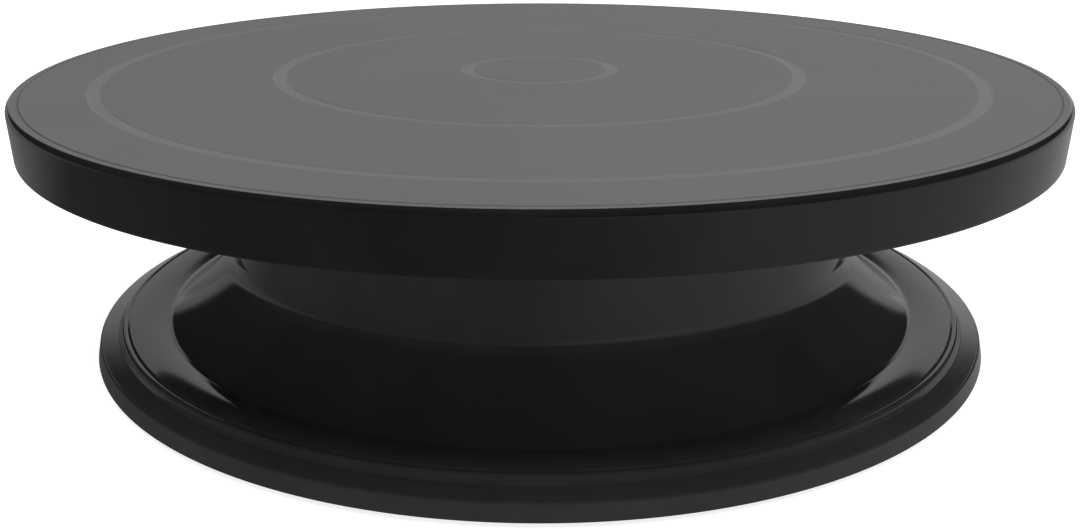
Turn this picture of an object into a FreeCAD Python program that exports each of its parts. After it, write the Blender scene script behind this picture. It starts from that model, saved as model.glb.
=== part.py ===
"""Sculpting turntable: a round plate that turns on a caged ring of steel balls over a moulded base."""
import FreeCAD, Part
import math
import os

import Sketcher

# Frame: millimetres, +Z up, origin on the table under the centre. The plate turns about Z.

DIMENSIONS = {
    # turning plate
    "plate_radius": 140.0,
    "overall_height": 73.0,
    "rim_height": 13.5,
    "rim_wall": 3.0,
    "rim_draft": 0.6,
    "deck_thick": 3.0,
    "top_round": 1.6,
    "lower_round": 0.8,
    "lip_radius": 137.0,
    "lip_width": 0.9,
    "lip_depth": 0.35,
    "band_width": 3.8,
    "band_depth": 0.4,
    "band_bevel": 0.5,
    "inner_band_radius": 20.2,
    "middle_band_radius": 71.6,
    "outer_band_radius": 118.9,
    "plate_boss_radius": 13.0,
    "plate_boss_gap": 0.5,
    "plate_rib_wall": 1.6,
    "plate_rib_drop": 5.0,
    "plate_rib_count": 12,
    "ring_rib_radius": 97.0,
    "ring_rib_pitch": 20.0,
    # ball race
    "race_radius": 70.0,
    "race_width": 10.0,
    "race_thick": 1.2,
    "race_inset": 0.6,
    "race_groove_depth": 0.4,
    "race_groove_radius": 3.4,
    "race_land": 2.0,
    "race_fit": 0.05,
    "ball_radius": 3.0,
    "ball_play": 0.15,
    "ball_count": 16,
    "cage_thick": 3.0,
    "cage_width": 11.0,
    "cage_bevel": 0.5,
    # base
    "base_radius": 125.4,
    "base_lift": 1.2,
    "shell_wall": 2.5,
    "neck_inside_drop": 0.75,
    "flare_inside_drop": 1.0,
    "corner_inside_drop": 1.75,
    "outer_wall_height": 4.5,
    "outer_wall_draft": 0.8,
    "outer_round": 0.8,
    "flange_inner_radius": 119.5,
    "flange_rise": 1.2,
    "bead_outer_radius": 118.9,
    "bead_outer_height": 7.9,
    "bead_inner_radius": 117.1,
    "bead_inner_height": 8.7,
    "bead_round": 1.15,
    "shoulder_outer_radius": 116.5,
    "shoulder_outer_height": 9.1,
    "shoulder_crown": 30.0,
    "shoulder_inner_radius": 106.6,
    "shoulder_inner_height": 8.2,
    "valley_round": 2.5,
    "flare_foot_radius": 105.0,
    "flare_foot_height": 8.5,
    "flare_bow": 68.0,
    "flare_top_radius": 89.2,
    "flare_top_height": 21.9,
    "neck_fillet": 8.0,
    "neck_foot_radius": 87.2,
    "neck_foot_height": 27.2,
    "neck_top_radius": 86.0,
    "neck_round": 1.2,
    "base_top_height": 59.0,
    # hub
    "hub_bore_radius": 6.5,
    "hub_wall": 3.5,
    "hub_floor_height": 42.0,
    "hub_skirt_radius": 14.0,
    "hub_skirt_height": 27.0,
    "base_rib_count": 6,
    "base_rib_wall": 2.0,
    "base_rib_bite": 1.5,
    "base_rib_hub_height": 31.0,
    "base_rib_outer_radius": 107.0,
    "base_rib_outer_height": 4.6,
    # spindle stack
    "spindle_radius": 4.0,
    "spindle_foot_height": 30.0,
    "spindle_head_gap": 1.0,
    "spindle_chamfer": 0.8,
    "running_play": 0.05,
    "bush_flange_radius": 10.0,
    "bush_flange_thick": 1.0,
    "insert_thread_gap": 0.02,
    "insert_groove_depth": 0.6,
    "insert_groove_width": 1.2,
    "insert_lower_groove": 2.1,
    "insert_upper_groove": 5.1,
    "washer_radius": 9.5,
    "washer_thick": 1.0,
    "spring_radius": 8.5,
    "spring_thick": 0.5,
    "spring_rise": 0.5,
    "stack_gap": 0.1,
    "nut_flats": 13.0,
    "nut_height": 8.0,
    "nut_bevel": 0.9,
    "cap_radius": 16.2,
    "cap_thick": 1.6,
    "cap_round": 0.6,
    "cap_collar_wall": 1.4,
    "cap_collar_height": 5.0,
    "cap_fit": 0.05,
    # feet
    "foot_count": 6,
    "foot_ring_radius": 101.5,
    "foot_radius": 7.0,
    "foot_round": 0.7,
    "foot_thick": 2.6,
    "foot_stem_radius": 2.4,
    "foot_stem_length": 3.2,
    "foot_boss_radius": 8.6,
    "foot_boss_foot": 1.5,
    "foot_boss_top": 7.2,
    "foot_fit": 0.05,
}

doc = FreeCAD.newDocument("sculpting_turntable")
sheet = doc.addObject("Spreadsheet::Sheet", "sizes")
for row, (alias, value) in enumerate(DIMENSIONS.items(), start=1):
    sheet.set(f"A{row}", alias.replace("_", " "))
    sheet.set(f"B{row}", str(value))
    sheet.setAlias(f"B{row}", alias)
doc.recompute()


class Length:
    """A number that also carries the sheet formula it comes from, so that features can be bound to it."""

    def __init__(self, value, formula):
        self.value = float(value)
        self.formula = formula

    @staticmethod
    def of(other):
        return other if isinstance(other, Length) else Length(other, str(float(other)))

    def __add__(self, other):
        other = Length.of(other)
        return Length(self.value + other.value, f"({self.formula} + {other.formula})")

    def __sub__(self, other):
        other = Length.of(other)
        return Length(self.value - other.value, f"({self.formula} - {other.formula})")

    def __mul__(self, other):
        other = Length.of(other)
        return Length(self.value * other.value, f"({self.formula} * {other.formula})")

    def __truediv__(self, other):
        other = Length.of(other)
        return Length(self.value / other.value, f"({self.formula} / {other.formula})")

    def __rsub__(self, other):
        return Length.of(other) - self

    def root(self):
        return Length(math.sqrt(self.value), f"sqrt({self.formula})")

    __radd__ = __add__
    __rmul__ = __mul__


class Sizes:
    """The sheet's cells by name."""

    def __getattr__(self, alias):
        return Length(sheet.get(alias), f"sizes.{alias}")


size = Sizes()
ZERO = Length(0, "0")

# Places that several pieces share.
merge = Length(1, "1")  # how far a feature runs into the solid that it joins or cuts
plate_top = size.overall_height
deck_underside = plate_top - size.deck_thick
rim_bottom = plate_top - size.rim_height
lower_race_bottom = size.base_top_height - size.race_inset
lower_race_top = lower_race_bottom + size.race_thick
ball_height = lower_race_top - size.race_groove_depth + size.ball_play + size.ball_radius
upper_race_bottom = ball_height + size.ball_radius + size.ball_play - size.race_groove_depth
upper_race_top = upper_race_bottom + size.race_thick
race_seat_bottom = upper_race_top - size.race_inset
race_inner_radius = size.race_radius - size.race_width / 2
race_outer_radius = size.race_radius + size.race_width / 2
bush_top = size.base_top_height + size.bush_flange_thick
plate_boss_bottom = bush_top + size.plate_boss_gap
spindle_head = deck_underside - size.spindle_head_gap
spindle_clear_radius = size.spindle_radius + size.running_play
washer_bottom = size.hub_floor_height - size.washer_thick
spring_bottom = washer_bottom - size.stack_gap - size.spring_thick - size.spring_rise
nut_bottom = spring_bottom - size.nut_height


# Sketching and feature helpers ----------------------------------------------------------------------------

def new_body(label):
    body = doc.addObject("PartDesign::Body", label)
    body.Label = label
    return body


def origin_plane(body, role):
    return next(feature for feature in body.Origin.OriginFeatures if feature.Role == role)


def new_sketch(body, role, name):
    sketch = body.newObject("Sketcher::SketchObject", name)
    sketch.AttachmentSupport = [(origin_plane(body, role), "")]
    sketch.MapMode = "FlatFace"
    return sketch


def arc_edge(start, end, radius, turn):
    """The short arc between two points; turn is 1 where it bends left on its way and -1 where right."""
    half = (end - start) * 0.5
    rise = math.sqrt(max(radius * radius - half.Length * half.Length, 0.0))
    left = FreeCAD.Vector(-half.y, half.x, 0).normalize()
    centre = start + half + left * (rise * turn)
    first, last = (start, end) if turn > 0 else (end, start)
    angles = [math.atan2(p.y - centre.y, p.x - centre.x) for p in (first, last)]
    circle = Part.Circle(centre, FreeCAD.Vector(0, 0, 1), radius)
    return Part.ArcOfCircle(circle, angles[0], angles[1])


def bind(sketch, kind, reference, length):
    """Add one dimension to a sketch and tie it to its sheet formula."""
    index = sketch.addConstraint(Sketcher.Constraint(kind, *reference, length.value))
    sketch.setExpression(f"Constraints[{index}]", length.formula)


def bind_point(sketch, edge, vertex, point):
    """Fix a sketch point at its two coordinates. A coordinate of zero holds it on the axis instead."""
    for kind, coordinate in zip(("DistanceX", "DistanceY"), point):
        if coordinate.formula == "0":
            axis = -2 if kind == "DistanceX" else -1
            sketch.addConstraint(Sketcher.Constraint("PointOnObject", edge, vertex, axis))
        else:
            bind(sketch, kind, (-1, 1, edge, vertex), coordinate)


def draw_outline(sketch, points):
    """Draw a closed outline. Each entry is (x, y) for a straight run to that point, or (x, y, radius, turn)
    for an arc to it."""
    corners = [FreeCAD.Vector(point[0].value, point[1].value, 0) for point in points]
    ends = []
    for number, point in enumerate(points):
        start, end = corners[number - 1], corners[number]
        if len(point) == 2:
            edge = sketch.addGeometry(Part.LineSegment(start, end), False)
            ends.append((edge, 1, 2))
        else:
            radius, turn = point[2], point[3]
            edge = sketch.addGeometry(arc_edge(start, end, radius.value, turn), False)
            bind(sketch, "Radius", (edge,), radius)
            ends.append((edge, 1, 2) if turn > 0 else (edge, 2, 1))
    for number, (edge, first, last) in enumerate(ends):
        following, next_first, _ = ends[(number + 1) % len(ends)]
        sketch.addConstraint(Sketcher.Constraint("Coincident", edge, last, following, next_first))
        bind_point(sketch, edge, last, points[number])


def turned(body, name, points, kind="PartDesign::Revolution"):
    """Turn an outline of (radius, height) points about the Z axis, as new material or as a groove."""
    sketch = new_sketch(body, "XZ_Plane", f"{name}_outline")
    draw_outline(sketch, points)
    feature = body.newObject(kind, name)
    feature.Profile = sketch
    feature.ReferenceAxis = (sketch, ["V_Axis"])
    feature.Angle = 360.0
    return feature


def ring(inner, outer, bottom, top):
    """The rectangular section of a plain ring."""
    return [(inner, bottom), (outer, bottom), (outer, top), (inner, top)]


def rib_set(body, name, points, thickness, count):
    """Radial ribs: one upright plate, drawn as (radius, height), repeated round the Z axis."""
    sketch = new_sketch(body, "XZ_Plane", f"{name}_outline")
    draw_outline(sketch, points)
    pad = body.newObject("PartDesign::Pad", f"{name}_first")
    pad.Profile = sketch
    pad.setExpression("Length", thickness.formula)
    pad.Midplane = True
    return repeat(body, name, pad, count)


def repeat(body, name, feature, count):
    """Repeat a feature evenly about the Z axis."""
    doc.recompute()
    pattern = body.newObject("PartDesign::PolarPattern", name)
    pattern.Originals = [feature]
    pattern.Axis = (origin_axis(body), [""])
    pattern.Angle = 360.0
    pattern.setExpression("Occurrences", count.formula)
    body.Tip = pattern
    return pattern


def origin_axis(body):
    return next(feature for feature in body.Origin.OriginFeatures if feature.Role == "Z_Axis")


# Turning plate --------------------------------------------------------------------------------------------

def band_groove(body, name, radius):
    """A shallow ring in the deck with bevelled sides, used to centre the work."""
    half = size.band_width / 2
    floor = plate_top - size.band_depth
    above = plate_top + size.band_depth
    turned(body, name, [
        (radius - half + size.band_bevel, floor),
        (radius + half - size.band_bevel, floor),
        (radius + half + size.band_bevel, above),
        (radius - half - size.band_bevel, above),
    ], "PartDesign::Groove")


def turntable_plate():
    body = new_body("turntable_plate")
    rim_foot_radius = size.plate_radius - size.rim_draft
    rim_inner_radius = size.plate_radius - size.rim_wall - size.rim_draft
    turned(body, "plate_blank", [
        (ZERO, plate_top),
        (ZERO, deck_underside),
        (rim_inner_radius, deck_underside),
        (rim_inner_radius, rim_bottom),
        (rim_foot_radius - size.lower_round, rim_bottom),
        (rim_foot_radius, rim_bottom + size.lower_round, size.lower_round, 1),
        (size.plate_radius, plate_top - size.top_round),
        (size.plate_radius - size.top_round, plate_top, size.top_round, 1),
    ])
    turned(body, "race_seat", [
        (race_inner_radius - size.race_land, deck_underside + merge),
        (race_inner_radius - size.race_land, race_seat_bottom),
        (race_inner_radius - size.race_fit, race_seat_bottom),
        (race_inner_radius - size.race_fit, race_seat_bottom + size.race_inset),
        (race_outer_radius + size.race_fit, race_seat_bottom + size.race_inset),
        (race_outer_radius + size.race_fit, race_seat_bottom),
        (race_outer_radius + size.race_land, race_seat_bottom),
        (race_outer_radius + size.race_land, deck_underside + merge),
    ])
    turned(body, "spindle_boss", ring(size.hub_bore_radius, size.plate_boss_radius,
                                      plate_boss_bottom, deck_underside + merge))
    rib_foot = deck_underside - size.plate_rib_drop
    for number in range(2):
        inner = size.ring_rib_radius + size.ring_rib_pitch * number
        turned(body, f"ring_rib_{number + 1}",
               ring(inner, inner + size.plate_rib_wall, rib_foot, deck_underside + merge))
    inner_reach = (size.plate_boss_radius - merge, race_inner_radius - size.race_land / 2)
    outer_reach = (race_outer_radius + size.race_land / 2, rim_inner_radius + merge)
    for name, (start, end) in (("inner_ribs", inner_reach), ("outer_ribs", outer_reach)):
        rib_set(body, name, ring(start, end, rib_foot, deck_underside + merge),
                size.plate_rib_wall, size.plate_rib_count)
    for name in ("inner", "middle", "outer"):
        band_groove(body, f"{name}_band", getattr(size, f"{name}_band_radius"))
    turned(body, "lip_line", ring(size.lip_radius - size.lip_width / 2, size.lip_radius + size.lip_width / 2,
                                  plate_top - size.lip_depth, plate_top + merge), "PartDesign::Groove")
    return body


# Base -----------------------------------------------------------------------------------------------------

def shell_outline():
    """The base's wall: a drum neck, a bowed flare, a crowned shoulder, a bead and a flat outer flange."""
    wall = size.shell_wall
    floor = size.base_lift
    wall_top = floor + size.outer_wall_height
    wall_top_radius = size.base_radius - size.outer_wall_draft
    deck_low = size.base_top_height - wall
    inside = [
        (size.hub_bore_radius, size.base_top_height),
        (size.hub_bore_radius, deck_low),
        (size.neck_top_radius - wall, deck_low),
        (size.neck_foot_radius - wall, size.neck_foot_height - size.neck_inside_drop),
        (size.flare_top_radius - wall, size.flare_top_height - size.flare_inside_drop,
         size.neck_fillet + wall, 1),
        (size.flare_foot_radius - wall / 2, size.flare_foot_height - wall, size.flare_bow + wall, 1),
        (size.shoulder_outer_radius - wall / 2, size.shoulder_outer_height - wall),
        (wall_top_radius - wall, wall_top - size.corner_inside_drop),
        (size.base_radius - wall, floor),
    ]
    outside = [
        (size.base_radius, floor),
        (wall_top_radius, wall_top - size.outer_round),
        (wall_top_radius - size.outer_round, wall_top, size.outer_round, 1),
        (size.flange_inner_radius, wall_top + size.flange_rise),
        (size.bead_outer_radius, size.bead_outer_height),
        (size.bead_inner_radius, size.bead_inner_height, size.bead_round, 1),
        (size.shoulder_outer_radius, size.shoulder_outer_height),
        (size.shoulder_inner_radius, size.shoulder_inner_height, size.shoulder_crown, 1),
        (size.flare_foot_radius, size.flare_foot_height, size.valley_round, -1),
        (size.flare_top_radius, size.flare_top_height, size.flare_bow, -1),
        (size.neck_foot_radius, size.neck_foot_height, size.neck_fillet, -1),
        (size.neck_top_radius, size.base_top_height - size.neck_round),
        (size.neck_top_radius - size.neck_round, size.base_top_height, size.neck_round, 1),
    ]
    return inside + outside


def rib_outline():
    """One of the base's ribs, from the hub out to the shoulder, with its edge inside each wall it meets."""
    wall = size.shell_wall
    bite = size.base_rib_bite
    skirt_middle = size.hub_skirt_radius + wall / 2
    deck_middle = size.base_top_height - wall / 2
    return [
        (size.hub_bore_radius + size.hub_wall / 2, size.hub_floor_height + wall / 2),
        (skirt_middle, size.hub_floor_height + wall / 2),
        (skirt_middle, size.base_rib_hub_height),
        (size.base_rib_outer_radius, size.base_rib_outer_height),
        (size.shoulder_inner_radius - wall / 2, size.shoulder_inner_height - bite),
        (size.flare_foot_radius - wall, size.flare_foot_height - bite),
        (size.flare_top_radius - bite, size.flare_top_height - size.flare_inside_drop),
        (size.neck_foot_radius - bite, size.neck_foot_height),
        (size.neck_top_radius - bite, deck_middle),
        (size.hub_bore_radius + size.hub_wall / 2, deck_middle),
    ]


def drum_ring(body, name, kind, radius, bottom, top):
    """A short upright drum at each foot's place, added or cut."""
    drum = body.newObject(kind, f"{name}_first")
    drum.AttachmentSupport = [(origin_plane(body, "XY_Plane"), "")]
    drum.MapMode = "FlatFace"
    drum.setExpression("Radius", radius.formula)
    drum.setExpression("Height", (top - bottom).formula)
    drum.setExpression("AttachmentOffset.Base.x", size.foot_ring_radius.formula)
    drum.setExpression("AttachmentOffset.Base.z", bottom.formula)
    return repeat(body, name, drum, size.foot_count)


def base_shell():
    body = new_body("base_shell")
    wall = size.shell_wall
    skirt_outer = size.hub_skirt_radius + wall
    turned(body, "shell", shell_outline())
    turned(body, "hub_tube", ring(size.hub_bore_radius, size.hub_bore_radius + size.hub_wall,
                                  size.hub_floor_height, size.base_top_height - wall / 2))
    turned(body, "hub_floor", ring(size.hub_bore_radius + size.hub_wall / 2, skirt_outer,
                                   size.hub_floor_height, size.hub_floor_height + wall))
    turned(body, "hub_skirt", ring(size.hub_skirt_radius, skirt_outer,
                                   size.hub_skirt_height, size.hub_floor_height + merge))
    rib_set(body, "base_ribs", rib_outline(), size.base_rib_wall, size.base_rib_count)
    turned(body, "race_recess", ring(race_inner_radius - size.race_fit, race_outer_radius + size.race_fit,
                                     lower_race_bottom, size.base_top_height + merge), "PartDesign::Groove")
    drum_ring(body, "foot_bosses", "PartDesign::AdditiveCylinder", size.foot_boss_radius,
              size.foot_boss_foot, size.foot_boss_top)
    drum_ring(body, "foot_recesses", "PartDesign::SubtractiveCylinder", size.foot_radius + size.foot_fit,
              size.foot_boss_foot - merge, size.foot_thick)
    drum_ring(body, "foot_sockets", "PartDesign::SubtractiveCylinder", size.foot_stem_radius + size.foot_fit,
              size.foot_thick - merge, size.foot_thick + size.foot_stem_length + size.foot_fit)
    return body


def feet():
    """Rubber feet: a round pad with a stem that pushes into the boss above it."""
    stem_top = size.foot_thick + size.foot_stem_length
    made = []
    for number in range(int(size.foot_count.value)):
        body = new_body(f"foot_{number + 1}")
        turned(body, f"pad_{number + 1}", [
            (ZERO, ZERO),
            (size.foot_radius - size.foot_round, ZERO),
            (size.foot_radius, size.foot_round, size.foot_round, 1),
            (size.foot_radius, size.foot_thick),
            (size.foot_stem_radius, size.foot_thick),
            (size.foot_stem_radius, stem_top),
            (ZERO, stem_top),
        ])
        place_on_ring(body, size.foot_ring_radius, number, size.foot_count, ZERO)
        made.append(body)
    return made


def place_on_ring(item, radius, number, count, height):
    """Stand a piece at its share of a full turn round the Z axis."""
    angle = f"(360 deg * {number} / {count.formula})"
    item.setExpression("Placement.Base.x", f"{radius.formula} * cos({angle})")
    item.setExpression("Placement.Base.y", f"{radius.formula} * sin({angle})")
    item.setExpression("Placement.Base.z", height.formula)


# Ball race ------------------------------------------------------------------------------------------------

def race(label, groove_face, back_face):
    """A pressed steel ring with a shallow round track for the balls."""
    body = new_body(label)
    depth = size.race_groove_depth
    centre_to_face = size.race_groove_radius - depth
    half_track = (size.race_groove_radius * size.race_groove_radius - centre_to_face * centre_to_face).root()
    facing_up = groove_face.value > back_face.value
    turned(body, f"{label}_ring", [
        (race_inner_radius, back_face),
        (race_outer_radius, back_face),
        (race_outer_radius, groove_face),
        (size.race_radius + half_track, groove_face),
        (size.race_radius - half_track, groove_face, size.race_groove_radius, -1 if facing_up else 1),
        (race_inner_radius, groove_face),
    ])
    return body


def ball_cage():
    """The nylon ring between the races, with a round pocket that snaps over each ball."""
    body = new_body("ball_cage")
    inner = size.race_radius - size.cage_width / 2
    outer = size.race_radius + size.cage_width / 2
    bottom = ball_height - size.cage_thick / 2
    top = ball_height + size.cage_thick / 2
    bevel = size.cage_bevel
    turned(body, "cage_ring", [
        (inner + bevel, bottom), (outer - bevel, bottom), (outer, bottom + bevel), (outer, top - bevel),
        (outer - bevel, top), (inner + bevel, top), (inner, top - bevel), (inner, bottom + bevel),
    ])
    pocket = body.newObject("PartDesign::SubtractiveSphere", "first_pocket")
    pocket.AttachmentSupport = [(origin_plane(body, "XY_Plane"), "")]
    pocket.MapMode = "FlatFace"
    pocket.setExpression("Radius", (size.ball_radius + size.ball_play).formula)
    pocket.setExpression("AttachmentOffset.Base.x", size.race_radius.formula)
    pocket.setExpression("AttachmentOffset.Base.z", ball_height.formula)
    repeat(body, "pockets", pocket, size.ball_count)
    return body


def balls():
    made = []
    for number in range(int(size.ball_count.value)):
        ball = doc.addObject("Part::Sphere", f"ball_{number + 1:02d}")
        ball.setExpression("Radius", size.ball_radius.formula)
        place_on_ring(ball, size.race_radius, number, size.ball_count, ball_height)
        made.append(ball)
    return made


# Spindle and what holds it ----------------------------------------------------------------------------------

def centre_spindle():
    """A steel pin with a chamfered foot. Its upper end is screwed into the insert."""
    body = new_body("centre_spindle")
    radius, chamfer, foot = size.spindle_radius, size.spindle_chamfer, size.spindle_foot_height
    turned(body, "pin", [
        (ZERO, foot), (radius - chamfer, foot), (radius, foot + chamfer),
        (radius, spindle_head - chamfer), (radius - chamfer, spindle_head), (ZERO, spindle_head),
    ])
    return body


def spindle_insert():
    """The brass sleeve in the plate's boss, with two grooves that the plastic grips."""
    body = new_body("spindle_insert")
    bore = size.spindle_radius + size.insert_thread_gap
    turned(body, "sleeve", ring(bore, size.hub_bore_radius, plate_boss_bottom, spindle_head))
    for name in ("lower", "upper"):
        low = plate_boss_bottom + getattr(size, f"insert_{name}_groove")
        turned(body, f"{name}_grip_groove",
               ring(size.hub_bore_radius - size.insert_groove_depth, size.hub_bore_radius + merge,
                    low, low + size.insert_groove_width), "PartDesign::Groove")
    return body


def spindle_bush():
    """The acetal bush pressed into the hub, with a flange on the base's top."""
    body = new_body("spindle_bush")
    turned(body, "bush", [
        (spindle_clear_radius, size.hub_floor_height),
        (size.hub_bore_radius, size.hub_floor_height),
        (size.hub_bore_radius, size.base_top_height),
        (size.bush_flange_radius, size.base_top_height),
        (size.bush_flange_radius, bush_top),
        (spindle_clear_radius, bush_top),
    ])
    return body


def thrust_washer():
    body = new_body("thrust_washer")
    turned(body, "washer", ring(spindle_clear_radius, size.washer_radius,
                                washer_bottom, size.hub_floor_height))
    return body


def disc_spring():
    """A shallow cone of spring steel that takes up the play under the hub."""
    body = new_body("disc_spring")
    turned(body, "cone", [
        (spindle_clear_radius, spring_bottom),
        (size.spring_radius, spring_bottom + size.spring_rise),
        (size.spring_radius, spring_bottom + size.spring_rise + size.spring_thick),
        (spindle_clear_radius, spring_bottom + size.spring_thick),
    ])
    return body


def lock_nut():
    """A hexagon nut: a turned blank with bevelled corners, cut to its six flats."""
    corner = size.nut_flats / Length(3, "3").root()
    bore = size.spindle_radius + size.insert_thread_gap
    blank = new_body("nut_blank")
    bevel = size.nut_bevel
    turned(blank, "nut_turning", [
        (bore, nut_bottom), (corner - bevel, nut_bottom), (corner, nut_bottom + bevel / 2),
        (corner, spring_bottom - bevel / 2), (corner - bevel, spring_bottom), (bore, spring_bottom),
    ])
    hexagon = doc.addObject("Part::Prism", "nut_hexagon")
    hexagon.Polygon = 6
    hexagon.setExpression("Circumradius", corner.formula)
    hexagon.setExpression("Height", (size.nut_height + merge * 2).formula)
    hexagon.setExpression("Placement.Base.z", (nut_bottom - merge).formula)
    nut = doc.addObject("Part::Common", "lock_nut")
    nut.Base = blank
    nut.Tool = hexagon
    return nut


def hub_cap():
    """The push-in cover under the hub."""
    body = new_body("hub_cap")
    collar_outer = size.hub_skirt_radius - size.cap_fit
    seat = size.hub_skirt_height
    turned(body, "cap", [
        (ZERO, seat - size.cap_thick),
        (size.cap_radius - size.cap_round, seat - size.cap_thick),
        (size.cap_radius, seat - size.cap_thick + size.cap_round, size.cap_round, 1),
        (size.cap_radius, seat),
        (collar_outer, seat),
        (collar_outer, seat + size.cap_collar_height),
        (collar_outer - size.cap_collar_wall, seat + size.cap_collar_height),
        (collar_outer - size.cap_collar_wall, seat),
        (ZERO, seat),
    ])
    return body


parts = [
    turntable_plate(),
    spindle_insert(),
    centre_spindle(),
    race("upper_race", upper_race_bottom, upper_race_top),
    race("lower_race", lower_race_top, lower_race_bottom),
    ball_cage(),
    *balls(),
    base_shell(),
    spindle_bush(),
    thrust_washer(),
    disc_spring(),
    lock_nut(),
    hub_cap(),
    *feet(),
]
doc.recompute()
for item in doc.Objects:
    if "Invalid" in item.State or "Error" in item.State:
        raise RuntimeError(f"{item.Label} failed: {item.State}")
for part in parts:
    if part.Shape.isNull() or not part.Shape.isValid() or len(part.Shape.Solids) != 1:
        raise RuntimeError(f"{part.Label} is not one valid solid")

os.makedirs("parts", exist_ok=True)
for part in parts:
    part.Shape.exportStep(f"parts/{part.Label}.step")
    box = part.Shape.BoundBox
    print(f"{part.Label:16} volume {part.Shape.Volume:10.1f}  z {box.ZMin:6.2f} to {box.ZMax:6.2f}")
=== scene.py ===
import math

import bmesh
import bpy
from mathutils import Matrix, Vector


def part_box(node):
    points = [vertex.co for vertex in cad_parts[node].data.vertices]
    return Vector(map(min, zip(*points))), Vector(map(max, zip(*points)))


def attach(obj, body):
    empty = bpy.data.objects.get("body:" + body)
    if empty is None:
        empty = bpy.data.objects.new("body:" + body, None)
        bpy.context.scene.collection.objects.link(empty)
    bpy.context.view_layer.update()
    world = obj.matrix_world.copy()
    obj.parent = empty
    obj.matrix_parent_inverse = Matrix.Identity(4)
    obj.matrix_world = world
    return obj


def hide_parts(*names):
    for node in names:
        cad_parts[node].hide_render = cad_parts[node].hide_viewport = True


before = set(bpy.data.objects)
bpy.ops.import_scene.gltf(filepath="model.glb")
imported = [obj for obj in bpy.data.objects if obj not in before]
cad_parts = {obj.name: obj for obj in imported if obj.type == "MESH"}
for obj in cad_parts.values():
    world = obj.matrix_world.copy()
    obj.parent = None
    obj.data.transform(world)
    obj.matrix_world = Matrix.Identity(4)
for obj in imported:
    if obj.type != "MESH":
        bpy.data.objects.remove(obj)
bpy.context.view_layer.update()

MM = 0.001


# Studio -------------------------------------------------------------------------------------------------
# A white table under two large soft boxes. The gloss picks up a pale card behind the turntable, a low
# pale skirting round the room that is brighter on the right, and dark everywhere above them.

camera_data = bpy.data.cameras.new("studio_camera")
camera_data.sensor_width = 36.0
camera_data.lens = 42.78
camera_data.clip_start = 10 * MM
camera = bpy.data.objects.new("studio_camera", camera_data)
bpy.context.collection.objects.link(camera)
camera_distance, camera_height = 358.5 * MM, 138.0 * MM
camera_looks_down = math.radians(18.96)
camera.matrix_world = (Matrix.Translation((0.0, -camera_distance, camera_height))
                       @ Matrix.Rotation(math.radians(90.0) - camera_looks_down, 4, "X"))
bpy.context.scene.camera = camera
bpy.context.scene.view_settings.view_transform = "Standard"


def feed(tree, value, socket):
    """Put a number, a colour or another node's output into a socket."""
    if isinstance(value, bpy.types.NodeSocket):
        tree.links.new(value, socket)
    else:
        socket.default_value = value


def add_node(tree, kind, settings=None, **inputs):
    """A shader node with its settings made and its named inputs fed; _ stands for a space in a name."""
    made = tree.nodes.new(kind)
    for name, value in (settings or {}).items():
        setattr(made, name, value)
    for name, value in inputs.items():
        feed(tree, value, made.inputs[name.replace("_", " ")])
    return made


def sums(tree, operation, *values):
    """One Math node on one to three values."""
    made = add_node(tree, "ShaderNodeMath", {"operation": operation})
    for socket, value in zip(made.inputs, values):
        feed(tree, value, socket)
    return made.outputs[0]


def ramp(tree, value, low, high, at_low=0.0, at_high=1.0):
    """A value that eases from at_low to at_high as the input goes from low to high."""
    return add_node(tree, "ShaderNodeMapRange", {"interpolation_type": "SMOOTHSTEP"}, Value=value,
                    From_Min=low, From_Max=high, To_Min=at_low, To_Max=at_high).outputs[0]


def choose(tree, mask, without, full):
    """One shader where the mask is 0 and another where it is 1."""
    made = tree.nodes.new("ShaderNodeMixShader")
    for socket, value in zip(made.inputs, (mask, without, full)):
        feed(tree, value, socket)
    return made.outputs[0]


def steepness(degrees):
    """How far up a direction at this elevation points, from 0 to 1."""
    return math.sin(math.radians(degrees))


world = bpy.data.worlds.new("studio")
world.use_nodes = True
bpy.context.scene.world = world
sky = world.node_tree
sky.nodes.clear()
across, away, upward = add_node(
    sky, "ShaderNodeSeparateXYZ", Vector=add_node(sky, "ShaderNodeTexCoord").outputs["Generated"]).outputs
off_centre = sums(sky, "ARCTAN2", sums(sky, "ABSOLUTE", across), away)
card_shade, skirting_behind, skirting_in_front, dark_room = 0.62, 0.36, 0.15, 0.02
card_width = ramp(sky, off_centre, math.radians(29), math.radians(34), card_shade, 0.0)
card = sums(sky, "MULTIPLY", card_width, ramp(sky, upward, steepness(24.5), steepness(28.5), 1.0, 0.0))
skirting_reach = ramp(sky, off_centre, math.radians(60), math.radians(110), skirting_behind,
                      skirting_in_front)
skirting = sums(sky, "MULTIPLY", skirting_reach, ramp(sky, upward, steepness(4), steepness(7), 1.0, 0.0))
left_share, right_share = 0.85, 1.45
to_the_right = ramp(sky, across, -0.9, 0.9, left_share, right_share)
backdrop = sums(sky, "MULTIPLY_ADD", sums(sky, "MAXIMUM", card, skirting), to_the_right, dark_room)
in_gloss = add_node(sky, "ShaderNodeBackground", Strength=backdrop).outputs[0]
surrounding = add_node(sky, "ShaderNodeBackground", Color=(1.0, 1.0, 1.0, 1.0), Strength=1.0).outputs[0]
fill_light = add_node(sky, "ShaderNodeBackground", Color=(1.0, 1.0, 1.0, 1.0), Strength=0.35).outputs[0]
path = add_node(sky, "ShaderNodeLightPath").outputs
seen = choose(sky, path["Is Camera Ray"], fill_light, surrounding)
add_node(sky, "ShaderNodeOutputWorld", Surface=choose(sky, path["Is Glossy Ray"], seen, in_gloss))


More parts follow.
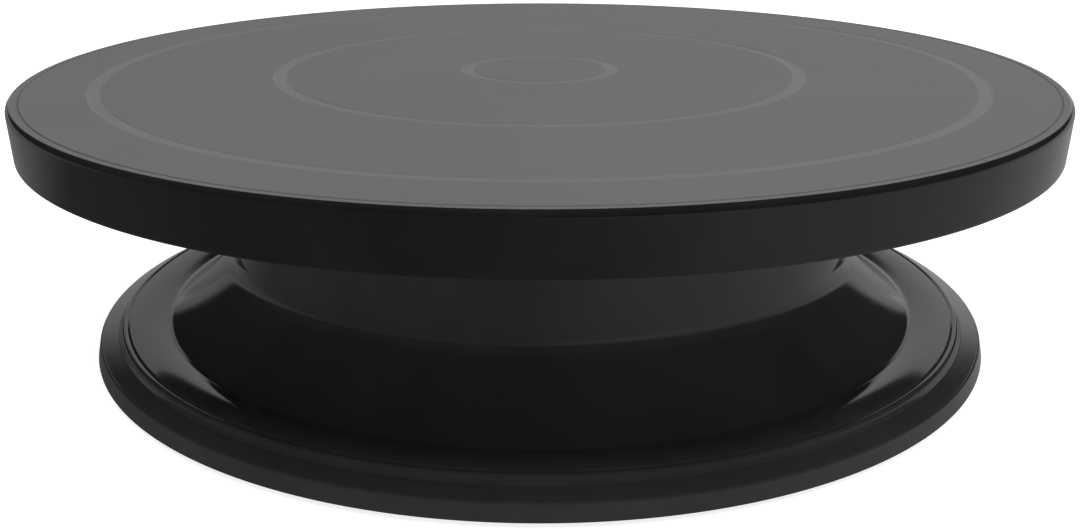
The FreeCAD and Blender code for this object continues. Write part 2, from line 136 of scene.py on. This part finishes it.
def soft_box(name, place, width, watts):
    """A square soft light aimed at the turntable. Its shape isn't picked up by the gloss."""
    data = bpy.data.lights.new(name, "AREA")
    data.size = width
    data.energy = watts
    light = bpy.data.objects.new(name, data)
    light.location = place
    light.rotation_euler = Vector(place).to_track_quat("Z", "Y").to_euler()
    light.visible_glossy = False
    bpy.context.collection.objects.link(light)


soft_box("overhead_soft_box", (0.1, -0.1, 1.5), 1.8, 30.0)
soft_box("right_soft_box", (1.4, 0.1, 0.7), 1.0, 4.0)

table_reach = 6.0
table_mesh = bpy.data.meshes.new("table_top")
table_mesh.from_pydata([(-table_reach, -table_reach, 0), (table_reach, -table_reach, 0),
                        (table_reach, table_reach, 0), (-table_reach, table_reach, 0)],
                       [], [(0, 1, 2, 3)])
table_top = bpy.data.objects.new("table_top", table_mesh)
bpy.context.collection.objects.link(table_top)
white_table = bpy.data.materials.new("white_table")
white_table.use_nodes = True
tree = white_table.node_tree
tree.nodes.clear()
sideways, depth, _ = add_node(tree, "ShaderNodeSeparateXYZ",
                              Vector=add_node(tree, "ShaderNodeTexCoord").outputs["Object"]).outputs
left_shade, right_shade, back_shade = 0.075, 0.36, 0.20
table_shade = sums(tree, "MAXIMUM", ramp(tree, sideways, -0.05, 0.20, left_shade, right_shade),
                   ramp(tree, depth, -0.10, 0.10, 0.0, back_shade))
table_in_gloss = add_node(tree, "ShaderNodeEmission", Strength=table_shade)
bright = add_node(tree, "ShaderNodeEmission", Strength=0.82).outputs[0]
shaded = add_node(tree, "ShaderNodeBsdfDiffuse", Color=(0.5, 0.5, 0.5, 1.0)).outputs[0]
lit = tree.nodes.new("ShaderNodeAddShader")
feed(tree, bright, lit.inputs[0])
feed(tree, shaded, lit.inputs[1])
path = add_node(tree, "ShaderNodeLightPath").outputs
dim_bounce = add_node(tree, "ShaderNodeEmission", Strength=0.95).outputs[0]
seen = choose(tree, path["Is Camera Ray"], dim_bounce, lit.outputs[0])
add_node(tree, "ShaderNodeOutputMaterial",
         Surface=choose(tree, path["Is Glossy Ray"], seen, table_in_gloss.outputs[0]))
table_mesh.materials.append(white_table)


# Base moulding ------------------------------------------------------------------------------------------
# One thin-walled moulding in black gloss ABS: a drum neck that flares out to a rolled shoulder, a bead
# and a flat flange, with a hub, six ribs and six foot bosses inside. A polished mould leaves it shiny.

TURNS = 288


def arc_points(start, end, radius, turn):
    """Points of the short arc after its start; turn is 1 where it bends left on its way, else -1."""
    half = (end - start) / 2
    rise = math.sqrt(max(radius ** 2 - half.length_squared, 0.0))
    centre = start + half + Vector((-half.y, half.x)).normalized() * rise * turn
    first, last = (math.atan2(*(point - centre).yx) for point in (start, end))
    sweep = (last - first + math.pi) % (2 * math.pi) - math.pi
    finest_turn, longest_step = math.radians(7.5), 1.5
    steps = math.ceil(max(4, abs(sweep) / finest_turn, radius * abs(sweep) / longest_step))
    angles = (first + sweep * step / steps for step in range(1, steps + 1))
    return [centre + radius * Vector((math.cos(angle), math.sin(angle))) for angle in angles]


def rounded_corner(before, here, after, radius):
    """Points of a small round in place of a corner."""
    back, ahead = (before - here).normalized(), (after - here).normalized()
    reach = radius / math.tan(back.angle(ahead) / 2)
    start, end = here + back * reach, here + ahead * reach
    turn = 1 if back.x * ahead.y - back.y * ahead.x < 0 else -1
    return [start] + arc_points(start, end, radius, turn)


def outline_of(corners):
    """Points of a closed outline in metres. A corner is (radius, height) in millimetres. A third number is
    its rounding. With four numbers, the last two are the radius and turn of the arc that leads to it."""
    points = []
    for number, corner in enumerate(corners):
        before, here = Vector(corners[number - 1][:2]), Vector(corner[:2])
        if len(corner) == 4:
            points += arc_points(before, here, *corner[2:])
        elif len(corner) == 3:
            after = Vector(corners[(number + 1) % len(corners)][:2])
            points += rounded_corner(before, here, after, corner[2])
        else:
            points.append(here)
    return [point * MM for point in points]


def turned_solid(corners, turns=TURNS):
    """Turn a closed outline about the Z axis into a closed mesh. A point on the axis becomes one pole."""
    solid = bmesh.new()
    rings = []
    for radius, height in outline_of(corners):
        angles = [2 * math.pi * turn / turns for turn in range(turns if radius > 1e-7 else 1)]
        rings.append([solid.verts.new((radius * math.cos(angle), radius * math.sin(angle), height))
                      for angle in angles])
    for here, there in zip(rings, rings[1:] + rings[:1]):
        if len(here) == len(there) == 1:
            continue
        for turn in range(turns):
            corner_verts = [here[turn % len(here)], here[(turn + 1) % len(here)],
                            there[(turn + 1) % len(there)], there[turn % len(there)]]
            solid.faces.new(list(dict.fromkeys(corner_verts)))
    bmesh.ops.recalc_face_normals(solid, faces=solid.faces[:])
    return solid


def upright_plate(corners, thickness):
    """A flat rib in the XZ plane, from its (radius, height) corners, with its thickness across Y."""
    solid = bmesh.new()
    near, far = ([solid.verts.new((x * MM, side * thickness / 2 * MM, z * MM)) for x, z in corners]
                 for side in (-1, 1))
    solid.faces.new(near)
    solid.faces.new(far[::-1])
    for number in range(len(corners)):
        solid.faces.new((near[number - 1], far[number - 1], far[number], near[number]))
    bmesh.ops.recalc_face_normals(solid, faces=solid.faces[:])
    return solid


def mesh_from(name, solid):
    mesh = bpy.data.meshes.new(name)
    solid.to_mesh(mesh)
    solid.free()
    return mesh


def new_piece(name, solid):
    piece = bpy.data.objects.new(name, mesh_from(name, solid))
    bpy.context.collection.objects.link(piece)
    return piece


def repeated(solid, count, offset=0.0):
    """Copies of a solid evenly round the Z axis, each moved outwards by the offset first."""
    first = mesh_from("one_of_a_ring", solid)
    first.transform(Matrix.Translation((offset * MM, 0.0, 0.0)))
    ring = bmesh.new()
    for _ in range(count):
        ring.from_mesh(first)
        first.transform(Matrix.Rotation(2 * math.pi / count, 4, "Z"))
    bpy.data.meshes.remove(first)
    return ring


def unite(piece, solid):
    """Join a solid to a piece as one moulding, with nothing left inside."""
    addition = new_piece("addition", solid)
    union = piece.modifiers.new("union", "BOOLEAN")
    union.operation, union.solver, union.object = "UNION", "MANIFOLD", addition
    whole = bpy.data.meshes.new_from_object(piece.evaluated_get(bpy.context.evaluated_depsgraph_get()))
    piece.modifiers.clear()
    before, piece.data = piece.data, whole
    bpy.data.meshes.remove(before)
    bpy.data.meshes.remove(addition.data)
    whole.name = piece.name


def shade(piece):
    """Shade rounds smoothly, keep real edges crisp and keep flats flat up to their rounds."""
    edge_angle = math.radians(30)
    piece.data.shade_smooth()
    piece.data.set_sharp_from_angle(angle=edge_angle)
    weights = piece.modifiers.new("flat_faces_lead", "WEIGHTED_NORMAL")
    weights.keep_sharp = True


shell_low, shell_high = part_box("base_shell")
base_radius, base_floor, base_top = shell_high[0] / MM, shell_low[2] / MM, shell_high[2] / MM
race_low, race_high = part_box("lower_race")
race_fit, race_width = 0.05, 10.0
race_outer, race_seat = race_high[0] / MM + race_fit, race_low[2] / MM
race_inner = race_outer - race_width - 2 * race_fit
shell_wall = 2.5
outer_draft, outer_round = 0.8, 0.8
wall_top = base_floor + 4.5
wall_top_radius = base_radius - outer_draft
flange_inner, flange_rise = 119.5, 1.2
bead_foot, bead_crest, bead_round = (118.9, 7.9), (117.1, 8.7), 1.15
shoulder_edge, shoulder_height = 116.5, 9.1
shoulder_valley, shoulder_crown = (106.6, 8.2), 30.0
flare_foot_radius, flare_foot, valley_round = 105.0, 8.5, 2.5
flare_top_radius, flare_top, flare_bow = 89.2, 21.9, 68.0
neck_foot_radius, neck_foot, neck_fillet = 87.2, 27.2, 8.0
neck_top_radius, neck_round = 86.0, 1.2
neck_inside_drop, flare_inside_drop, corner_inside_drop = 0.75, 1.0, 1.75
hub_bore, hub_outer, hub_floor = 6.5, 10.0, 42.0
skirt_inner, skirt_foot = 14.0, 27.0
skirt_outer = skirt_inner + shell_wall
hub_top, deck_low = hub_floor + shell_wall, base_top - shell_wall
crisp, eased = 0.3, 0.5

base = new_piece("base_moulding", turned_solid([
    # hub bore, hub floor and skirt
    (hub_bore, base_top, crisp),
    (hub_bore, hub_floor, crisp),
    (skirt_inner, hub_floor),
    (skirt_inner, skirt_foot, crisp),
    (skirt_outer, skirt_foot, eased),
    (skirt_outer, hub_top, eased),
    (hub_outer, hub_top, 0.6),
    (hub_outer, deck_low, 0.8),
    # inside of the shell
    (neck_top_radius - shell_wall, deck_low, 1.0),
    (neck_foot_radius - shell_wall, neck_foot - neck_inside_drop),
    (flare_top_radius - shell_wall, flare_top - flare_inside_drop, neck_fillet + shell_wall, 1),
    (flare_foot_radius - shell_wall / 2, flare_foot - shell_wall, flare_bow + shell_wall, 1),
    (shoulder_edge - shell_wall / 2, shoulder_height - shell_wall),
    (wall_top_radius - shell_wall, wall_top - corner_inside_drop, eased),
    (base_radius - shell_wall, base_floor, crisp),
    # flange, bead and shoulder
    (base_radius, base_floor, 0.35),
    (wall_top_radius, wall_top - outer_round),
    (wall_top_radius - outer_round, wall_top, outer_round, 1),
    (flange_inner, wall_top + flange_rise, 0.4),
    bead_foot,
    (*bead_crest, bead_round, 1),
    (shoulder_edge, shoulder_height, 0.25),
    (*shoulder_valley, shoulder_crown, 1),
    # valley, flare and neck
    (flare_foot_radius, flare_foot, valley_round, -1),
    (flare_top_radius, flare_top, flare_bow, -1),
    (neck_foot_radius, neck_foot, neck_fillet, -1),
    (neck_top_radius, base_top - neck_round),
    (neck_top_radius - neck_round, base_top, neck_round, 1),
    # seat of the lower race
    (race_outer, base_top, 0.2),
    (race_outer, race_seat),
    (race_inner, race_seat),
    (race_inner, base_top, 0.2),
]))
# The ribs and bosses reach a little way into the walls they stand on, so that the union has no gap.
spoke_count, spoke_wall, spoke_bite = 6, 2.0, 1.5
spoke_start, spoke_top = (hub_bore + hub_outer) / 2, base_top - shell_wall / 2
spoke_at_skirt, skirt_rib_foot = skirt_inner + shell_wall / 2, 31.0
spoke_toe, spoke_under_valley, spoke_under_flare = (107.0, 4.6), (105.35, 6.7), (102.5, 7.0)
unite(base, repeated(upright_plate([
    (spoke_start, hub_floor + shell_wall / 2),
    (spoke_at_skirt, hub_floor + shell_wall / 2),
    (spoke_at_skirt, skirt_rib_foot),
    spoke_toe,
    spoke_under_valley,
    spoke_under_flare,
    (flare_top_radius - spoke_bite, flare_top - flare_inside_drop),
    (neck_foot_radius - spoke_bite, neck_foot),
    (neck_top_radius - spoke_bite, spoke_top),
    (spoke_start, spoke_top),
], spoke_wall), spoke_count))
foot_ring, foot_recess, stem_recess = 101.5, 7.05, 2.45
pad_top, stem_top = 2.6, 5.85
foot_boss_radius, foot_boss_low, foot_boss_high = 8.6, 1.5, 7.2
unite(base, repeated(turned_solid([
    (0.0, foot_boss_high), (0.0, stem_top), (stem_recess, stem_top), (stem_recess, pad_top),
    (foot_recess, pad_top), (foot_recess, foot_boss_low, 0.15), (foot_boss_radius, foot_boss_low, 0.4),
    (foot_boss_radius, foot_boss_high),
], turns=48), spoke_count, foot_ring))
shade(base)


def new_group(name, inputs, outputs):
    """A shader node group with named inputs, each with its usual value, and named outputs."""
    group = bpy.data.node_groups.new(name, "ShaderNodeTree")
    for label, usual in inputs.items():
        kind = "NodeSocketColor" if isinstance(usual, tuple) else "NodeSocketFloat"
        group.interface.new_socket(label, in_out="INPUT", socket_type=kind).default_value = usual
    for label in outputs:
        kind = "NodeSocketColor" if label == "Colour" else "NodeSocketFloat"
        group.interface.new_socket(label, in_out="OUTPUT", socket_type=kind)
    return group, group.nodes.new("NodeGroupInput").outputs, group.nodes.new("NodeGroupOutput").inputs


def spots(tree):
    """Places on the piece, in metres."""
    return add_node(tree, "ShaderNodeTexCoord").outputs["Object"]


def blended(tree, mask, first, second):
    """A colour that goes from the first to the second with the mask."""
    made = add_node(tree, "ShaderNodeMix", {"data_type": "RGBA"})
    for socket, value in zip((made.inputs[0], made.inputs[6], made.inputs[7]), (mask, first, second)):
        feed(tree, value, socket)
    return made.outputs[2]


# Slow drifts of shade and shine where the plastic flowed and cooled, and the fine grain of the mould.
moulded_skin, given, result = new_group(
    "moulded_skin",
    {"Deep Colour": (0.01, 0.01, 0.01, 1.0), "Pale Colour": (0.02, 0.02, 0.02, 1.0),
     "Shiny": 0.1, "Dull": 0.2, "Patches": 30.0, "Grain": 2500.0}, ("Colour", "Roughness", "Height"))
flow = add_node(moulded_skin, "ShaderNodeTexNoise", Vector=spots(moulded_skin), Scale=given["Patches"],
                Detail=5.0, Roughness=0.6, Distortion=0.4).outputs["Fac"]
drift = ramp(moulded_skin, flow, 0.32, 0.70)
grain = add_node(moulded_skin, "ShaderNodeTexNoise", Vector=spots(moulded_skin), Scale=given["Grain"],
                 Detail=2.0).outputs["Fac"]
tone = blended(moulded_skin, drift, given["Deep Colour"], given["Pale Colour"])
feed(moulded_skin, tone, result["Colour"])
extra = sums(moulded_skin, "SUBTRACT", given["Dull"], given["Shiny"])
feed(moulded_skin, sums(moulded_skin, "MULTIPLY_ADD", extra, drift, given["Shiny"]), result["Roughness"])
feed(moulded_skin, grain, result["Height"])

# Hair-thin handling scratches in two crossing directions, in patches where hands and tools rub.
fine_scratches, given, result = new_group("fine_scratches", {"Spacing": 900.0, "Amount": 0.5}, ("Mask",))
rubbed = add_node(fine_scratches, "ShaderNodeTexNoise", Vector=spots(fine_scratches), Scale=22.0,
                  Detail=3.0).outputs["Fac"]
lines = []
for heading in (0.35, 1.9):
    laid = add_node(fine_scratches, "ShaderNodeMapping", Vector=spots(fine_scratches),
                    Rotation=(0.2, 0.1, heading), Scale=(0.02, 1.0, 1.0)).outputs[0]
    line = add_node(fine_scratches, "ShaderNodeTexNoise", Vector=laid, Scale=given["Spacing"], Detail=1.0)
    lines.append(ramp(fine_scratches, line.outputs["Fac"], 0.70, 0.78))
crossed = sums(fine_scratches, "MAXIMUM", *lines)
patchy = sums(fine_scratches, "MULTIPLY", crossed, ramp(fine_scratches, rubbed, 0.45, 0.65))
feed(fine_scratches, sums(fine_scratches, "MULTIPLY", patchy, given["Amount"]), result["Mask"])

# Specks of dust that settle in loose clusters on faces that look up.
settled_dust, given, result = new_group("settled_dust", {"Amount": 0.3, "Specks": 900.0}, ("Mask",))
speck = add_node(settled_dust, "ShaderNodeTexVoronoi", Vector=spots(settled_dust),
                 Scale=given["Specks"]).outputs["Distance"]
cluster = add_node(settled_dust, "ShaderNodeTexNoise", Vector=spots(settled_dust), Scale=45.0,
                   Detail=4.0).outputs["Fac"]
looks_up = add_node(settled_dust, "ShaderNodeSeparateXYZ",
                    Vector=add_node(settled_dust, "ShaderNodeNewGeometry").outputs["Normal"]).outputs[2]
small = sums(settled_dust, "MULTIPLY", ramp(settled_dust, speck, 0.06, 0.16, 1.0, 0.0),
             ramp(settled_dust, cluster, 0.52, 0.72))
lying = sums(settled_dust, "MULTIPLY", small, ramp(settled_dust, looks_up, 0.3, 0.95))
feed(settled_dust, sums(settled_dust, "MULTIPLY", lying, given["Amount"]), result["Mask"])

# Fine lines that run round the axis, left by turning, or copied from a turned mould.
turned_marks, given, result = new_group("turned_marks", {"Lines": 3000.0}, ("Height",))
x, y, z = add_node(turned_marks, "ShaderNodeSeparateXYZ", Vector=spots(turned_marks)).outputs
squares = sums(turned_marks, "MULTIPLY_ADD", x, x, sums(turned_marks, "MULTIPLY", y, y))
from_axis = add_node(turned_marks, "ShaderNodeCombineXYZ", X=sums(turned_marks, "SQRT", squares), Y=z)
feed(turned_marks, add_node(turned_marks, "ShaderNodeTexNoise", Vector=from_axis.outputs[0],
                            Scale=given["Lines"], Detail=3.0).outputs["Fac"], result["Height"])

dust_colour = (0.34, 0.33, 0.31, 1.0)
scratch_dulls, dust_dulls, scratch_sinks = 0.25, 0.8, -0.5
mould_lines = 600.0


def plastic(name, deep, pale, shiny, dull, grain_depth, scratches=0.3, dust=0.2, patches=30.0,
            grain=2500.0, rings=0.0):
    """A moulded plastic: drifts, grain and turned rings of the mould, scratches and a little dust."""
    material = bpy.data.materials.new(name)
    material.use_nodes = True
    tree = material.node_tree
    shader = tree.nodes["Principled BSDF"]
    skin = add_node(tree, "ShaderNodeGroup", {"node_tree": moulded_skin}, Deep_Colour=(*deep, 1.0),
                    Pale_Colour=(*pale, 1.0), Shiny=shiny, Dull=dull, Patches=patches,
                    Grain=grain).outputs
    scratched = add_node(tree, "ShaderNodeGroup", {"node_tree": fine_scratches},
                         Amount=scratches).outputs[0]
    dusty = add_node(tree, "ShaderNodeGroup", {"node_tree": settled_dust}, Amount=dust).outputs[0]
    feed(tree, blended(tree, dusty, skin["Colour"], dust_colour), shader.inputs["Base Color"])
    scuffed = sums(tree, "MULTIPLY_ADD", scratched, scratch_dulls, skin["Roughness"])
    feed(tree, sums(tree, "MULTIPLY_ADD", dusty, dust_dulls, scuffed), shader.inputs["Roughness"])
    worn = sums(tree, "MULTIPLY_ADD", scratched, scratch_sinks, skin["Height"])
    if rings:
        ringed = add_node(tree, "ShaderNodeGroup", {"node_tree": turned_marks},
                          Lines=mould_lines).outputs[0]
        worn = sums(tree, "MULTIPLY_ADD", ringed, rings, worn)
    bump = add_node(tree, "ShaderNodeBump", Height=worn, Distance=grain_depth * MM)
    feed(tree, bump.outputs[0], shader.inputs["Normal"])
    return material


gloss_abs = plastic("gloss_abs", (0.031, 0.031, 0.032), (0.038, 0.038, 0.039), 0.07, 0.11, 0.0005,
                    scratches=0.06, dust=0.1, rings=2.0)
base.data.materials.clear()
base.data.materials.append(gloss_abs)
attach(base, "base")
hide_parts("base_shell")


# Rubber feet --------------------------------------------------------------------------------------------
# Six round pads of soft black rubber, each with a stem that pushes into its boss. The pads are moulded
# with a dull surface, and dust sticks to them.

def dress(material, *nodes):
    """Give a material to pieces that keep their own shape."""
    for name in nodes:
        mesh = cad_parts[name].data
        mesh.materials.clear()
        mesh.materials.append(material)


foot_names = [f"foot_{number}" for number in range(1, 7)]
dull_rubber = plastic("dull_rubber", (0.018, 0.018, 0.017), (0.032, 0.031, 0.030), 0.68, 0.88, 0.03,
                      scratches=0.1, dust=0.6, patches=60.0, grain=1400.0)
dress(dull_rubber, *foot_names)


# Hub cap ------------------------------------------------------------------------------------------------
# The push-in cover under the hub, which keeps dirt off the lock nut. It is moulded in black ABS, in a
# plain mould that leaves it satin.

satin_abs = plastic("satin_abs", (0.010, 0.010, 0.011), (0.016, 0.016, 0.017), 0.30, 0.42, 0.008)
dress(satin_abs, "hub_cap")


# Flanged bush and thrust washer -------------------------------------------------------------------------
# The bush that the spindle turns in, turned from natural acetal. It is pressed into the hub from above,
# until its flange sits on the base's top. The washer under the hub is stamped from white nylon.

lathe_lines, lathe_patches, lathe_dulls = 3000.0, 80.0, 0.12


def turned_finish(name, deep, pale, shiny, dull, metal, mark_depth):
    """A turned or ground finish: fine lines that run round the axis, over slow changes of tone."""
    material = bpy.data.materials.new(name)
    material.use_nodes = True
    tree = material.node_tree
    shader = tree.nodes["Principled BSDF"]
    shader.inputs["Metallic"].default_value = metal
    skin = add_node(tree, "ShaderNodeGroup", {"node_tree": moulded_skin}, Deep_Colour=(*deep, 1.0),
                    Pale_Colour=(*pale, 1.0), Shiny=shiny, Dull=dull, Patches=lathe_patches).outputs
    marks = add_node(tree, "ShaderNodeGroup", {"node_tree": turned_marks}, Lines=lathe_lines).outputs[0]
    feed(tree, skin["Colour"], shader.inputs["Base Color"])
    dulled = sums(tree, "MULTIPLY_ADD", marks, lathe_dulls, skin["Roughness"])
    feed(tree, dulled, shader.inputs["Roughness"])
    bump = add_node(tree, "ShaderNodeBump", Height=marks, Distance=mark_depth * MM)
    feed(tree, bump.outputs[0], shader.inputs["Normal"])
    return material


plain, metallic = 0.0, 1.0
natural_acetal = turned_finish(
    "natural_acetal", (0.70, 0.69, 0.65), (0.78, 0.77, 0.73), 0.32, 0.42, plain, 0.01)
white_nylon = turned_finish(
    "white_nylon", (0.62, 0.60, 0.54), (0.70, 0.68, 0.62), 0.40, 0.50, plain, 0.006)
dress(natural_acetal, "spindle_bush")
dress(white_nylon, "thrust_washer")


# Ball race ----------------------------------------------------------------------------------------------
# Two pressed steel rings with a polished track, sixteen ground steel balls, and a black nylon cage that
# snaps over the balls and carries them round. A film of oil darkens the steel here and there.

pressed_steel = turned_finish(
    "pressed_steel", (0.42, 0.41, 0.40), (0.58, 0.57, 0.56), 0.20, 0.34, metallic, 0.006)
ball_steel = turned_finish(
    "ball_steel", (0.64, 0.64, 0.65), (0.74, 0.74, 0.75), 0.04, 0.09, metallic, 0.0005)
cage_nylon = plastic("cage_nylon", (0.030, 0.030, 0.032), (0.045, 0.045, 0.047), 0.38, 0.50, 0.01)
ball_names = [f"ball_{number:02d}" for number in range(1, 17)]
dress(pressed_steel, "lower_race", "upper_race")
dress(ball_steel, *ball_names)
dress(cage_nylon, "ball_cage")


# Turning plate ------------------------------------------------------------------------------------------
# The round plate that carries the work, moulded in black ABS. Its deck has a fine etched texture with
# three shallow ring bands for centring. The bands are smoother, and their colour is painted a little
# lighter as a painted sheen. The rim is polished, and ribs, race seat and boss stiffen it underneath.

plate_low, plate_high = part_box("turntable_plate")
plate_radius, rim_bottom, plate_top = plate_high[0] / MM, plate_low[2] / MM, plate_high[2] / MM
deck_thick, rim_wall, rim_draft = 3.0, 3.0, 0.6
top_round, foot_round = 1.6, 0.8
plate_underside = plate_top - deck_thick
rim_foot = plate_radius - rim_draft
rim_inside = rim_foot - rim_wall
upper_race_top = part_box("upper_race")[1][2] / MM
seat_depth, seat_land = 0.6, 1.95
seat_bottom = upper_race_top - seat_depth
boss_radius, boss_bottom = 13.0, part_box("spindle_insert")[0][2] / MM
rib_foot, rib_wall, rib_count = plate_underside - 5.0, 1.6, 12
band_radii = (20.2, 71.6, 118.9)
band_half_width, band_depth, band_bevel, band_softness = 1.9, 0.22, 0.5, 0.15
line_radius, line_half_width, line_floor, line_depth = 137.0, 0.3, 0.1, 0.3


def band(radius):
    """A shallow flat-bottomed ring in the deck, with bevelled sides and soft edges."""
    outline = ((-band_half_width, plate_top), (band_bevel - band_half_width, plate_top - band_depth),
               (band_half_width - band_bevel, plate_top - band_depth), (band_half_width, plate_top))
    return [(radius + offset, height, band_softness) for offset, height in outline]


def hanging_ring(radius):
    """A ring rib below the deck, met from its outer side."""
    return [(radius + rib_wall, plate_underside, eased), (radius + rib_wall, rib_foot, crisp),
            (radius, rib_foot, crisp), (radius, plate_underside, eased)]


plate = new_piece("plate_moulding", turned_solid([
    (0.0, plate_underside),
    (0.0, plate_top),
    *band(band_radii[0]),
    *band(band_radii[1]),
    *band(band_radii[2]),
    # the fine line inside the rim, then the rim
    (line_radius - line_half_width, plate_top, 0.12),
    (line_radius - line_floor, plate_top - line_depth, 0.1),
    (line_radius + line_floor, plate_top - line_depth, 0.1),
    (line_radius + line_half_width, plate_top, 0.12),
    (plate_radius - top_round, plate_top),
    (plate_radius, plate_top - top_round, top_round, -1),
    (rim_foot, rim_bottom + foot_round),
    (rim_foot - foot_round, rim_bottom, foot_round, -1),
    (rim_inside, rim_bottom, eased),
    (rim_inside, plate_underside, 1.0),
    *hanging_ring(117.0),
    *hanging_ring(97.0),
    # seat of the upper race
    (race_outer + seat_land, plate_underside, 0.8),
    (race_outer + seat_land, seat_bottom, crisp),
    (race_outer, seat_bottom, 0.15),
    (race_outer, upper_race_top),
    (race_inner, upper_race_top),
    (race_inner, seat_bottom, 0.15),
    (race_inner - seat_land, seat_bottom, crisp),
    (race_inner - seat_land, plate_underside, 0.8),
    # boss round the brass insert
    (boss_radius, plate_underside, 0.8),
    (boss_radius, boss_bottom, 0.4),
    (hub_bore, boss_bottom, crisp),
    (hub_bore, plate_underside),
]))
rib_bite = 1.0
rib_head = plate_underside + rib_bite
for rib_start, rib_end in ((boss_radius - rib_bite, race_inner - rib_bite),
                           (race_outer + rib_bite, rim_inside + rib_bite)):
    unite(plate, repeated(upright_plate(
        [(rib_start, rib_foot), (rib_end, rib_foot), (rib_end, rib_head), (rib_start, rib_head)],
        rib_wall), rib_count))
shade(plate)

polished_rim = plastic("polished_rim", (0.008, 0.008, 0.0085), (0.011, 0.011, 0.0115), 0.10, 0.15, 0.0005,
                       scratches=0.1, dust=0.03)
etched_deck = plastic("etched_deck", (0.098, 0.098, 0.100), (0.110, 0.110, 0.112), 0.50, 0.58, 0.012,
                      scratches=0.2, dust=0.15, patches=12.0, grain=3200.0, rings=1.2)
# The ring bands have a smoother finish than the deck. Their colour is painted a little lighter than the
# deck's: a painted sheen.
smooth_band_painted_sheen = plastic("smooth_band_painted_sheen", (0.112, 0.112, 0.114), (0.123, 0.123, 0.125), 0.44, 0.50, 0.004,
                      scratches=0.2, dust=0.15, patches=12.0, grain=3200.0)
etched_gloss = 0.2
for finish in (etched_deck, smooth_band_painted_sheen):
    finish.node_tree.nodes["Principled BSDF"].inputs["Specular IOR Level"].default_value = etched_gloss
plate.data.materials.clear()
for finish in (polished_rim, etched_deck, smooth_band_painted_sheen):
    plate.data.materials.append(finish)
of_rim, of_deck, of_band = range(3)
deck_reach, deck_depth = plate_radius - 1.2, 1.0
for face in plate.data.polygons:
    radius, height = face.center.xy.length / MM, face.center.z / MM
    on_deck = height > plate_top - deck_depth and radius < deck_reach
    in_band = any(abs(radius - middle) < band_half_width for middle in band_radii)
    face.material_index = (of_band if in_band else of_deck) if on_deck else of_rim
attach(plate, "plate")
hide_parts("turntable_plate")


# Brass insert -------------------------------------------------------------------------------------------
# The sleeve that the spindle is screwed into, turned from brass. It is moulded into the plate's boss,
# with two grooves that the plastic grips.

insert_brass = turned_finish(
    "insert_brass", (0.60, 0.42, 0.17), (0.74, 0.54, 0.25), 0.20, 0.32, metallic, 0.01)
dress(insert_brass, "spindle_insert")


# Spindle, disc spring and lock nut ----------------------------------------------------------------------
# The ground steel pin that the plate turns on. Under the hub it carries a blued spring that takes up the
# play and a zinc-plated nut that holds the plate down.

ground_steel = turned_finish(
    "ground_steel", (0.52, 0.52, 0.53), (0.64, 0.64, 0.65), 0.14, 0.24, metallic, 0.004)
spring_steel = turned_finish(
    "spring_steel", (0.16, 0.15, 0.15), (0.26, 0.25, 0.24), 0.26, 0.40, metallic, 0.006)
zinc_plate = turned_finish(
    "zinc_plate", (0.55, 0.56, 0.58), (0.72, 0.72, 0.72), 0.26, 0.42, metallic, 0.01)
dress(ground_steel, "centre_spindle")
dress(spring_steel, "disc_spring")
dress(zinc_plate, "lock_nut")
